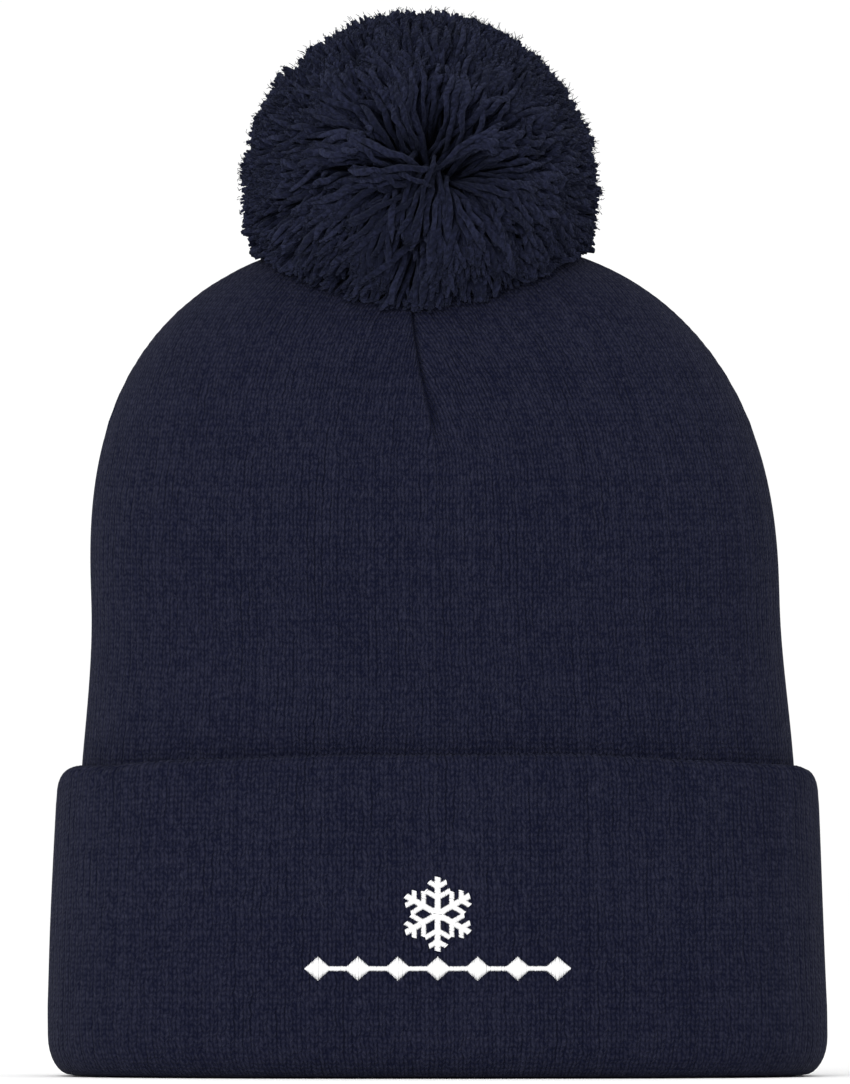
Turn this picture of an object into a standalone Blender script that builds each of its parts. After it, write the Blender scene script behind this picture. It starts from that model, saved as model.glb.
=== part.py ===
"""Pom pom beanie: a doubled knit cap with a turned-up cuff and a yarn pom-pom on its crown.

Metres, +Z up. The cap stands on its cuff with its front towards -Y. The origin is the centre of the
head opening, on the plane that the cuff rests on.
"""
import math

import bmesh
import bpy
from mathutils import Matrix, Vector

# Driving dimensions
KNIT_WALL = 0.0022
GAP = 0.0005
ROUND_STEPS = 40
SQUARENESS = 2.35

# Cuff: half sizes at its widest, its taper towards the hem, and its rim
CUFF_HALF_WIDTH = 0.1079
CUFF_HALF_DEPTH = 0.0585
CUFF_TAPER = 0.0026
CUFF_HEIGHT = 0.0845
CUFF_HEM_RISE = 0.0048
CUFF_RISE_START = 0.040
CUFF_WIDEST_HEIGHT = 0.018
HEM_CORNER_START = 0.0985
HEM_CORNER_WIDTH = 0.0068
HEM_CORNER_DROP = 0.0052
RIM_CORNER_WIDTH = 0.0065
RIM_CORNER_HEIGHT = 0.0107
POCKET = 0.0010
FOLD_TAIL = 0.006
CUFF_STACK = 2.0 * KNIT_WALL + POCKET
CUFF_INSIDE = CUFF_TAPER + CUFF_STACK
INNER_CUFF_BOTTOM = 0.0050

# Cap: half sizes at the line where the crown springs, and the flare under the cuff
CAP_HALF_WIDTH = 0.0952
CAP_HALF_DEPTH = 0.0470
CAP_FLARE_WIDTH = 0.0040
CAP_FLARE_DEPTH = 0.0030
FLARE_START = 0.070
FLARE_END = 0.130
SPRING_HEIGHT = 0.135
CROWN_HEIGHT = 0.232
CROWN_POWER = 2.4
CROWN_HOLE = 0.0026
CROWN_LEAN = -0.0035
LEAN_START = 0.092
CAP_BOTTOM = KNIT_WALL + 0.0004
LINING_INSET = KNIT_WALL + GAP
LINING_CROWN_DROP = 0.0052
LINING_CROWN_EASE = 0.0018
EASE_START = 0.140
EASE_END = 0.175

# Each layer of the cap: how far inside the hat it lies, its crown's height, its ease at the crown
OUTER_LAYER = (0.0, CROWN_HEIGHT, 0.0)
LINING_LAYER = (LINING_INSET, CROWN_HEIGHT - LINING_CROWN_DROP, LINING_CROWN_EASE)

# Dart seams
SEAM_RADIUS = 0.00045
SEAM_LOW = 0.160
SEAM_CROWN_REACH = 0.012
SEAM_CLEARANCE = 0.0005
SLOPE_STEP = 0.0005
DART_SIDES = {"front": -90.0, "right": 0.0, "back": 90.0, "left": 180.0}

# Tie and pom-pom
KNOT_RADIUS = 0.0055
TIE_RADIUS = 0.0015
TIE_TOP = CROWN_HEIGHT + 0.0006
GATHER_RADIUS = 0.0052
GATHER_THREAD = 0.0006
PIVOT_HEIGHT = CROWN_HEIGHT + 0.0020
WRAP_RADIUS = 0.0026
WRAP_THREAD = 0.0007
POM_RADIUS = 0.0503
POM_CENTRE = 0.2457
POM_UNDERSIDE = 0.2364
POM_CHANNEL = 0.0070
CORE_RADIUS = 0.0090
CORE_HALF_HEIGHT = 0.0035
CORE_ROOM = 0.0010

# Embroidery on the cuff front
THREAD_PLATE = 0.0005
THREAD_GAP = 0.0003
FLAKE_HEIGHT = 0.0450
FLAKE_ARM = 0.0100
FLAKE_BAR = 0.0008
FLAKE_BRANCHES = ((0.70, 0.24), (0.40, 0.36))
FLAKE_BRANCH_WIDTH = 0.0013
BORDER_HEIGHT = 0.0300
BORDER_STEP = 0.0110
BORDER_COUNT = 7
DIAMOND_HALF_WIDTH = 0.0034
DIAMOND_HALF_HEIGHT = 0.0030
BORDER_BAR = 0.0006
BACKING_HALF_WIDTH = 0.042
BACKING_LOW = 0.022
BACKING_HIGH = 0.059
BACKING_WALL = 0.0004
BACKING_SLACK = 0.0001
BEND_STEP = 0.004

# Care label, inside at the back
LABEL_HALF_WIDTH = 0.016
LABEL_TOP = 0.070
LABEL_LENGTH = 0.036
LABEL_WALL = 0.0009
LABEL_CLEARANCE = 0.0006
LABEL_SWING_GAP = 0.0006
STITCH_HEIGHT = 0.0018
STITCH_DEPTH = 0.0012
STITCH_MARGIN = 0.001

NAVY = (0.0145, 0.0160, 0.0320)
NAVY_LINING = (0.0130, 0.0145, 0.0290)
NAVY_POM = (0.0150, 0.0160, 0.0330)
THREAD_NAVY = (0.0110, 0.0120, 0.0240)
WHITE_THREAD = (0.90, 0.90, 0.90)
WHITE_TAPE = (0.78, 0.78, 0.76)


def clear_scene():
    for thing in list(bpy.data.objects):
        bpy.data.objects.remove(thing, do_unlink=True)


def new_collection(name):
    collection = bpy.data.collections.new(name)
    bpy.context.scene.collection.children.link(collection)
    return collection


def yarn(name, colour, roughness):
    """A plain matt fibre material."""
    material = bpy.data.materials.new(name)
    material.use_nodes = True
    shader = material.node_tree.nodes["Principled BSDF"]
    shader.inputs["Base Color"].default_value = (*colour, 1.0)
    shader.inputs["Roughness"].default_value = roughness
    shader.inputs["Metallic"].default_value = 0.0
    return material


def place(name, data, colour, roughness=0.9, location=(0.0, 0.0, 0.0)):
    """Name an object, give it its own material and put it in the beanie's collection."""
    piece = bpy.data.objects.new(name, data)
    data.materials.append(yarn(name + "_material", colour, roughness))
    piece.location = location
    PARTS.objects.link(piece)
    return piece


def mesh_from(name, bm):
    mesh = bpy.data.meshes.new(name)
    bm.to_mesh(mesh)
    bm.free()
    mesh.shade_smooth()
    mesh.set_sharp_from_angle(angle=math.radians(40.0))
    return mesh


def smooth_step(value):
    value = min(max(value, 0.0), 1.0)
    return value * value * (3.0 - 2.0 * value)


# ---------------------------------------------------------------- outlines of the hat

def oval(angle, half_width, half_depth, squareness):
    """A point on an oval whose long sides lie flatter as squareness passes 2."""
    power = 2.0 / squareness
    across, along = math.cos(angle), math.sin(angle)
    return (
        half_width * math.copysign(abs(across) ** power, across),
        half_depth * math.copysign(abs(along) ** power, along),
    )


def crown_ratio(height, crown_height):
    """How far the crown has drawn in at a height: 1 at the spring line, 0 at the top."""
    rise = (height - SPRING_HEIGHT) / (crown_height - SPRING_HEIGHT)
    rise = min(max(rise, 0.0), 1.0)
    return (1.0 - rise ** CROWN_POWER) ** (1.0 / CROWN_POWER)


def cap_point(angle, height, layer):
    """A point on the outside of one of the cap's knit layers."""
    inset, crown_height, ease = layer
    ratio = crown_ratio(height, crown_height)
    inset += ease * smooth_step((height - EASE_START) / (EASE_END - EASE_START))
    flare = 1.0 - smooth_step((height - FLARE_START) / (FLARE_END - FLARE_START))
    half_width = CAP_HALF_WIDTH + CAP_FLARE_WIDTH * flare - inset
    half_depth = CAP_HALF_DEPTH + CAP_FLARE_DEPTH * flare - inset
    half_width = CROWN_HOLE + (half_width - CROWN_HOLE) * ratio
    half_depth = CROWN_HOLE + (half_depth - CROWN_HOLE) * ratio
    squareness = 2.0 + (SQUARENESS - 2.0) * ratio
    x, y = oval(angle, half_width, half_depth, squareness)
    lean = CROWN_LEAN * smooth_step((height - LEAN_START) / (crown_height - LEAN_START))
    return Vector((x + lean, y, height))


def crown_heights(crown_height):
    """Heights of the rows up the crown, closing up towards the top."""
    power = 2.0 / CROWN_POWER
    angles = (15.0, 29.0, 42.0, 54.0, 64.0, 73.0, 80.0, 85.5)
    rise = crown_height - SPRING_HEIGHT
    rows = [SPRING_HEIGHT + rise * math.sin(math.radians(a)) ** power for a in angles]
    return rows + [crown_height]


def cuff_taper(height):
    return CUFF_TAPER * max(height - CUFF_WIDEST_HEIGHT, 0.0) / (CUFF_HEIGHT - CUFF_WIDEST_HEIGHT)


def cuff_point(angle, height, inset):
    """A point on the cuff, `inset` inside its widest outline; its hem rises to the front and back
    and rounds down at the two sides."""
    x, y = oval(angle, CUFF_HALF_WIDTH - inset, CUFF_HALF_DEPTH - inset, SQUARENESS)
    share = max(height - CUFF_RISE_START, 0.0) / (CUFF_HEIGHT - CUFF_RISE_START)
    corner = min(max((abs(x) - HEM_CORNER_START) / HEM_CORNER_WIDTH, 0.0), 1.0)
    rise = CUFF_HEM_RISE * (1.0 - (x / CUFF_HALF_WIDTH) ** 2)
    drop = HEM_CORNER_DROP * (1.0 - math.sqrt(1.0 - corner ** 2))
    return Vector((x, y, height + (rise - drop) * share))


def cuff_front(x, height):
    """How far forward the cuff's face stands at a place on its front."""
    inset = cuff_taper(height)
    share = abs(x) / (CUFF_HALF_WIDTH - inset)
    return (CUFF_HALF_DEPTH - inset) * (1.0 - share ** SQUARENESS) ** (1.0 / SQUARENESS)


# ---------------------------------------------------------------- knit layers

def spun_rows(rows):
    """A tube of quads, one ring for each row, marked with its row by its height."""
    bm = bmesh.new()
    line = [bm.verts.new((1.0, 0.0, float(row))) for row in range(rows)]
    edges = [bm.edges.new(pair) for pair in zip(line, line[1:])]
    bmesh.ops.spin(
        bm,
        geom=line + edges,
        cent=(0.0, 0.0, 0.0),
        axis=(0.0, 0.0, 1.0),
        angle=math.tau,
        steps=ROUND_STEPS,
        use_merge=True,
    )
    return bm


def knit_layer(name, profile, point, colour, wall=KNIT_WALL):
    """A knit wall: a tube shaped by `point` along `profile`, thickened inwards."""
    bm = spun_rows(len(profile))
    for vert in bm.verts:
        angle = math.atan2(vert.co.y, vert.co.x)
        vert.co = point(angle, profile[round(vert.co.z)])
    bmesh.ops.recalc_face_normals(bm, faces=bm.faces)
    outermost = max(bm.faces, key=lambda face: face.calc_center_median().x)
    if outermost.normal.x < 0.0:
        bmesh.ops.reverse_faces(bm, faces=bm.faces)
    layer = place(name, mesh_from(name, bm), colour)
    thickness = layer.modifiers.new("wall", "SOLIDIFY")
    thickness.thickness = wall
    thickness.offset = -1.0
    thickness.use_even_offset = True
    return layer


def cap_layer(name, layer, colour):
    side = [CAP_BOTTOM, FLARE_START, 0.088, 0.102, 0.116, SPRING_HEIGHT]
    heights = side + crown_heights(layer[1])

    def point(angle, height):
        return cap_point(angle, height, layer)

    return knit_layer(name, heights, point, colour)


def cuff_face_profile():
    """From the lip under the cap, round the rim, up the face and over the hem fold."""
    lip_inset = CUFF_INSIDE + GAP + KNIT_WALL + LINING_INSET
    profile = [(lip_inset, 0.0), (RIM_CORNER_WIDTH, 0.0)]
    for degrees in (30.0, 60.0, 90.0):
        turn = math.radians(degrees)
        inset = RIM_CORNER_WIDTH * (1.0 - math.sin(turn))
        profile.append((inset, RIM_CORNER_HEIGHT * (1.0 - math.cos(turn))))
    fold_radius = CUFF_STACK / 2.0
    fold_height = CUFF_HEIGHT - fold_radius
    for height in (CUFF_WIDEST_HEIGHT, 0.040, 0.060):
        profile.append((cuff_taper(height), height))
    for degrees in (0.0, 36.0, 72.0, 108.0, 144.0, 180.0):
        turn = math.radians(degrees)
        inset = CUFF_TAPER + fold_radius * (1.0 - math.cos(turn))
        profile.append((inset, fold_height + fold_radius * math.sin(turn)))
    profile.append((CUFF_INSIDE, fold_height - FOLD_TAIL))
    return profile


def make_cuff():
    def point(angle, place_on_profile):
        inset, height = place_on_profile
        return cuff_point(angle, height, inset)

    knit_layer("cuff_face_layer", cuff_face_profile(), point, NAVY)
    top = CUFF_HEIGHT - CUFF_STACK / 2.0 - FOLD_TAIL - GAP
    outer = CUFF_INSIDE - KNIT_WALL
    tube = [(outer, INNER_CUFF_BOTTOM), (outer, CUFF_RISE_START), (outer, top)]
    knit_layer("cuff_inner_layer", tube, point, NAVY_LINING)


def make_cap():
    cap_layer("outer_knit_layer", OUTER_LAYER, NAVY)
    cap_layer("lining_knit_layer", LINING_LAYER, NAVY_LINING)


# ---------------------------------------------------------------- dart seams

def seam_route(degrees, layer):
    """Points down one dart, just inside a layer's inner side."""
    angle = math.radians(degrees)
    crown_height = layer[1]
    depth = KNIT_WALL + SEAM_CLEARANCE + SEAM_RADIUS
    heights = [row for row in crown_heights(crown_height) if row > SEAM_LOW]
    centre = Vector((CROWN_LEAN, 0.0))
    route = []
    for height in heights:
        here = cap_point(angle, height, layer)
        if (here.xy - centre).length < SEAM_CROWN_REACH:
            break
        below = cap_point(angle, height - SLOPE_STEP, layer)
        above = cap_point(angle, min(height + SLOPE_STEP, crown_height), layer)
        upward = (above - below).normalized()
        across = Vector((-math.sin(angle), math.cos(angle), 0.0))
        outward = across.cross(upward).normalized()
        route.append(here - outward * depth)
    return route


def thread(name, points):
    """A seam's thread along short straight steps."""
    curve = bpy.data.curves.new(name, "CURVE")
    curve.dimensions = "3D"
    curve.bevel_depth = SEAM_RADIUS
    curve.bevel_resolution = 2
    curve.use_fill_caps = True
    spline = curve.splines.new("POLY")
    spline.points.add(len(points) - 1)
    for knot, place_on_route in zip(spline.points, points):
        knot.co = (*place_on_route, 1.0)
    return place(name, curve, THREAD_NAVY)


def make_dart_seams():
    for side, degrees in DART_SIDES.items():
        thread("outer_dart_seam_" + side, seam_route(degrees, OUTER_LAYER))
        thread("lining_dart_seam_" + side, seam_route(degrees, LINING_LAYER))


# ---------------------------------------------------------------- tie and pom-pom

def turned(name, profile, colour, steps=24):
    """A turned piece on the pom-pom's axis: the profile runs down its outer side."""
    mesh = bpy.data.meshes.new(name)
    edges = [(i, i + 1) for i in range(len(profile) - 1)]
    mesh.from_pydata([(radius, 0.0, height) for radius, height in profile], edges, [])
    piece = place(name, mesh, colour, location=(CROWN_LEAN, 0.0, 0.0))
    screw = piece.modifiers.new("turn", "SCREW")
    screw.steps = steps
    screw.render_steps = steps
    screw.use_merge_vertices = True
    screw.merge_threshold = 0.00001
    screw.use_smooth_shade = True
    return piece


def arc(centre, radius, first, last, steps):
    """Points on an arc; 90 degrees is the top and 0 is the outermost point."""
    points = []
    for step in range(steps + 1):
        turn = math.radians(first + (last - first) * step / steps)
        points.append((radius * math.cos(turn), centre + radius * math.sin(turn)))
    return points


def ring(name, radius, height, thickness, colour, ring_steps=24):
    """A closed loop of thread lying flat on the pom-pom's axis."""
    bpy.ops.mesh.primitive_torus_add(
        major_radius=radius,
        minor_radius=thickness,
        major_segments=ring_steps,
        minor_segments=8,
        location=(CROWN_LEAN, 0.0, height),
    )
    made = bpy.context.object
    mesh = made.data
    location = made.location.copy()
    bpy.data.objects.remove(made)
    mesh.shade_smooth()
    return place(name, mesh, colour, location=location)


def make_tie():
    lining_inside = CROWN_HEIGHT - LINING_CROWN_DROP - KNIT_WALL
    knot_centre = lining_inside - GAP - KNOT_RADIUS * math.cos(math.asin(TIE_RADIUS / KNOT_RADIUS))
    shoulder = math.degrees(math.acos(TIE_RADIUS / KNOT_RADIUS))
    profile = [(0.0, TIE_TOP), (TIE_RADIUS, TIE_TOP)]
    profile += arc(knot_centre, KNOT_RADIUS, shoulder, -90.0, 9)
    profile[-1] = (0.0, profile[-1][1])
    turned("anchor_knot", profile, NAVY_POM, steps=16)
    gather_height = CROWN_HEIGHT + THREAD_GAP + GATHER_THREAD
    ring("crown_gather_thread", GATHER_RADIUS, gather_height, GATHER_THREAD, THREAD_NAVY)
    ring("tie_wrap", WRAP_RADIUS, PIVOT_HEIGHT, WRAP_THREAD, NAVY_POM, ring_steps=16)


def make_pom():
    neck_low = PIVOT_HEIGHT - 0.0006
    core_top = POM_CENTRE + CORE_HALF_HEIGHT
    neck = [(0.0, core_top), (TIE_RADIUS, core_top), (TIE_RADIUS, neck_low), (0.0, neck_low)]
    turned("pom_neck_cord", neck, NAVY_POM, steps=16)

    bore = TIE_RADIUS + THREAD_GAP
    waist = CORE_HALF_HEIGHT * 0.6
    binding = [
        (bore, core_top),
        (CORE_RADIUS - 0.002, core_top),
        (CORE_RADIUS, POM_CENTRE + waist),
        (CORE_RADIUS, POM_CENTRE - waist),
        (CORE_RADIUS - 0.002, POM_CENTRE - CORE_HALF_HEIGHT),
        (bore, POM_CENTRE - CORE_HALF_HEIGHT),
        (bore, core_top),
    ]
    turned("pom_core_binding", binding, THREAD_NAVY, steps=20)

    drop = math.degrees(math.asin((POM_UNDERSIDE - POM_CENTRE) / POM_RADIUS))
    room_radius = CORE_RADIUS + CORE_ROOM
    room_low = POM_CENTRE - CORE_HALF_HEIGHT - CORE_ROOM
    room_high = core_top + CORE_ROOM
    ball = arc(POM_CENTRE, POM_RADIUS, 90.0, drop, 12)
    ball[0] = (0.0, ball[0][1])
    ball += [
        (POM_CHANNEL, POM_UNDERSIDE),
        (POM_CHANNEL, room_low),
        (room_radius, room_low),
        (room_radius, room_high),
        (0.0, room_high),
    ]
    turned("pom_pile", ball, NAVY_POM, steps=32)


# ---------------------------------------------------------------- embroidery

def flake_outline():
    """The closed outline of a six-armed flake: one arm's right side, mirrored and turned."""
    across = math.sin(math.radians(60.0))
    along = Vector((across, 0.5))
    over = Vector((-0.5, across))
    right = [Vector((FLAKE_BAR, FLAKE_ARM))]
    for root, length in FLAKE_BRANCHES:
        low = Vector((FLAKE_BAR, root * FLAKE_ARM))
        tip = low + along * length * FLAKE_ARM
        high = low + Vector((0.0, FLAKE_BRANCH_WIDTH / across))
        right += [high, tip + over * FLAKE_BRANCH_WIDTH, tip, low]
    right.append(Vector((FLAKE_BAR, FLAKE_BAR / math.tan(math.radians(30.0)))))
    left = [Vector((-p.x, p.y)) for p in reversed(right)]
    outline = []
    for arm in range(6):
        turn = Matrix.Rotation(-math.radians(60.0 * arm), 2)
        outline += [turn @ p for p in left[1:] + right]
    return outline


def border_outline():
    """A row of diamonds strung on one thin bar: the top edge, and its mirror as the bottom edge."""
    first = -0.5 * BORDER_STEP * (BORDER_COUNT - 1)
    shoulder = DIAMOND_HALF_WIDTH * (1.0 - BORDER_BAR / DIAMOND_HALF_HEIGHT)
    top = [Vector((first - DIAMOND_HALF_WIDTH, 0.0))]
    for number in range(BORDER_COUNT):
        middle = first + BORDER_STEP * number
        if number > 0:
            top.append(Vector((middle - shoulder, BORDER_BAR)))
        top.append(Vector((middle, DIAMOND_HALF_HEIGHT)))
        if number < BORDER_COUNT - 1:
            top.append(Vector((middle + shoulder, BORDER_BAR)))
    top.append(Vector((-first + DIAMOND_HALF_WIDTH, 0.0)))
    return top + [Vector((p.x, -p.y)) for p in reversed(top[1:-1])]


def rectangle(half_width, low, high):
    return [
        Vector((-half_width, low)),
        Vector((half_width, low)),
        Vector((half_width, high)),
        Vector((-half_width, high)),
    ]


def plate_on_cuff(name, outline, height, stand_off, wall, colour):
    """A flat outline in X and Z, `wall` thick, laid along the cuff's front.

    `stand_off` is how far the plate's back stands in front of the cuff's face.
    """
    bm = bmesh.new()
    corners = [bm.verts.new((p.x, 0.0, p.y + height)) for p in outline]
    bm.faces.new(corners)
    reach = max(abs(p.x) for p in outline)
    cuts = int(reach / BEND_STEP)
    for step in range(-cuts, cuts + 1):
        bmesh.ops.bisect_plane(
            bm,
            geom=bm.verts[:] + bm.edges[:] + bm.faces[:],
            dist=0.00001,
            plane_co=(step * BEND_STEP, 0.0, 0.0),
            plane_no=(1.0, 0.0, 0.0),
        )
    bmesh.ops.triangulate(bm, faces=bm.faces)
    made = bmesh.ops.extrude_face_region(bm, geom=bm.faces[:])
    front = [item for item in made["geom"] if isinstance(item, bmesh.types.BMVert)]
    bmesh.ops.translate(bm, verts=front, vec=(0.0, -wall, 0.0))
    for vert in bm.verts:
        vert.co.y -= cuff_front(vert.co.x, vert.co.z) + stand_off
    bmesh.ops.recalc_face_normals(bm, faces=bm.faces)
    return place(name, mesh_from(name, bm), colour, roughness=0.5)


def make_embroidery():
    flake = flake_outline()
    plate_on_cuff("embroidered_motif", flake, FLAKE_HEIGHT, THREAD_GAP, THREAD_PLATE, WHITE_THREAD)
    border = border_outline()
    plate_on_cuff("embroidered_border", border, BORDER_HEIGHT, THREAD_GAP, THREAD_PLATE, WHITE_THREAD)
    backing = rectangle(BACKING_HALF_WIDTH, BACKING_LOW, BACKING_HIGH)
    behind = -(KNIT_WALL + THREAD_GAP + BACKING_WALL + BACKING_SLACK)
    plate_on_cuff("embroidery_backing", backing, 0.0, behind, BACKING_WALL, WHITE_TAPE)


# ---------------------------------------------------------------- care label

def block(name, low, high, colour):
    """A plain box between two corners, with its origin at the middle of its top edge."""
    bm = bmesh.new()
    bmesh.ops.create_cube(bm, size=1.0)
    low, high = Vector(low), Vector(high)
    origin = Vector(((low.x + high.x) / 2.0, (low.y + high.y) / 2.0, high.z))
    bmesh.ops.scale(bm, vec=high - low, verts=bm.verts)
    bmesh.ops.translate(bm, vec=(low + high) / 2.0 - origin, verts=bm.verts)
    return place(name, mesh_from(name, bm), colour, location=origin)


def make_label():
    lining = cap_point(math.radians(90.0), LABEL_TOP, LINING_LAYER)
    back = lining.y - KNIT_WALL - LABEL_CLEARANCE
    label_low = (-LABEL_HALF_WIDTH, back - LABEL_WALL, LABEL_TOP - LABEL_LENGTH)
    label_high = (LABEL_HALF_WIDTH, back, LABEL_TOP)
    block("care_label", label_low, label_high, WHITE_TAPE)
    stitch_side = LABEL_HALF_WIDTH - STITCH_MARGIN
    stitch_foot = LABEL_TOP + LABEL_SWING_GAP
    stitch_low = (-stitch_side, back - STITCH_DEPTH, stitch_foot)
    stitch_high = (stitch_side, back, stitch_foot + STITCH_HEIGHT)
    block("label_stitches", stitch_low, stitch_high, THREAD_NAVY)


clear_scene()
PARTS = new_collection("pom_pom_beanie")
make_cap()
make_cuff()
make_dart_seams()
make_tie()
make_pom()
make_embroidery()
make_label()
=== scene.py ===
"""Looks of the pom pom beanie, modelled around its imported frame.

The cap and the cuff are knit tubes: each is a grid of quads joined into a ring, whose rows and
columns are laid on the hat's outline, with a UV map that counts stitches. The pom-pom is thousands
of cut strands of yarn, each bent from the tie at its middle out to its own place on the ball.
"""
import math

import bmesh
import bpy
import numpy as np
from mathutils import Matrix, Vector


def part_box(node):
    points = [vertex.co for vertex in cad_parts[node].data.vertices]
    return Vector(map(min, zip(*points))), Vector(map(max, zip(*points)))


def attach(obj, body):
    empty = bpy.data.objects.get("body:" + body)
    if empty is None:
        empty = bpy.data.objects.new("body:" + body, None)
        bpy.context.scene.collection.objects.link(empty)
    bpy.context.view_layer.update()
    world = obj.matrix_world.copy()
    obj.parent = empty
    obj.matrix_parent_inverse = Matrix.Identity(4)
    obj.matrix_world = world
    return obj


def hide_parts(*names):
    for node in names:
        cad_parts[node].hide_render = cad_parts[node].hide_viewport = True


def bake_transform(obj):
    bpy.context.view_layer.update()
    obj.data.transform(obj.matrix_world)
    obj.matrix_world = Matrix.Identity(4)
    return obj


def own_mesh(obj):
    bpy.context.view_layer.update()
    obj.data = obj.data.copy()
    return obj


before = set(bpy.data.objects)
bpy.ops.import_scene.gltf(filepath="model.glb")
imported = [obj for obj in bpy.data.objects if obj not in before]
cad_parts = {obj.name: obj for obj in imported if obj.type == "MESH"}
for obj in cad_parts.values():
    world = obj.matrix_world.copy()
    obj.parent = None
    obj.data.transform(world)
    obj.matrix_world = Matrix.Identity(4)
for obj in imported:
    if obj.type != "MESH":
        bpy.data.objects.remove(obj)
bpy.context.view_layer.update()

# The frame's own sizes
CAP_LOW, CAP_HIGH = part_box("outer_knit_layer")
LINING_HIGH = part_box("lining_knit_layer")[1]
CUFF_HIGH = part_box("cuff_face_layer")[1]
INNER_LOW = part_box("cuff_inner_layer")[0]
POM_LOW, POM_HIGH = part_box("pom_pile")
KNOT_LOW, KNOT_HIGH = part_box("anchor_knot")
LABEL_LOW, LABEL_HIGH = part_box("care_label")
STITCH_LOW, STITCH_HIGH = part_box("label_stitches")

# Outline of the hat
SQUARENESS = 2.35
WALL = 0.0022
CUFF_HALF_WIDTH = CUFF_HIGH.x
CUFF_HALF_DEPTH = CUFF_HIGH.y
CUFF_TAPER = 0.0026
CUFF_HEM = 0.0845
CUFF_HEM_RISE = CUFF_HIGH.z - CUFF_HEM
CUFF_RISE_START = 0.040
CUFF_WIDEST = 0.018
CUFF_STACK = 2.0 * WALL + 0.0010
CUFF_INSIDE = CUFF_TAPER + CUFF_STACK
RIM_WIDTH = 0.0065
RIM_HEIGHT = 0.0107
CAP_FOOT = CAP_LOW.z
CAP_FLARE_WIDTH = 0.0040
CAP_FLARE_DEPTH = 0.0030
CAP_HALF_WIDTH = CAP_HIGH.x - CAP_FLARE_WIDTH
CAP_HALF_DEPTH = CAP_HIGH.y - CAP_FLARE_DEPTH
FLARE_START, FLARE_END = 0.070, 0.130
SPRING = 0.135
CROWN = CAP_HIGH.z
CROWN_POWER = 2.4
CROWN_HOLE = 0.0026
LEAN_START = 0.092
POM_AXIS = (POM_LOW.x + POM_HIGH.x) / 2.0
LINING_INSET = CAP_HIGH.x - LINING_HIGH.x
LINING_CROWN = LINING_HIGH.z
LINING_EASE = 0.0018
EASE_START, EASE_END = 0.140, 0.175

HEM_CORNER = (0.0985, 0.0068, 0.0052)

# The knitting
WALES = 216
SIDE_STRETCH = 0.80
COLUMNS_PER_WALE = 4
COURSE = 0.00155
ROW = 0.0027
WALE_RELIEF = 0.00011
LUMP = 0.0004
CUFF_LUMP_SEED = 11

# The darts, whose strengths run from right, by back and left, to front
DARTS = 4
DART_FOOT = 0.172
DART_OPENS = 0.1765
DART_POCKET = 0.1810
DART_DEPTH = 0.0019
DART_STRENGTHS = (0.45, 1.0, 0.45, 1.0)
DART_TURNS = {"front": 270.0, "back": 90.0, "left": 180.0, "right": 0.0}

# Yarn colours, in linear light
NAVY_DEEP = (0.0036, 0.0046, 0.0150)
NAVY_LIGHT = (0.0215, 0.0228, 0.0430)
LINING_DEEP = (0.0030, 0.0038, 0.0120)
LINING_LIGHT = (0.0180, 0.0190, 0.0350)
POM_DEEP = (0.0048, 0.0059, 0.0132)
POM_NAVY = (0.0078, 0.0092, 0.0230)
POM_LIGHT = (0.0262, 0.0302, 0.0640)


# ---------------------------------------------------------------- shader maths

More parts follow.
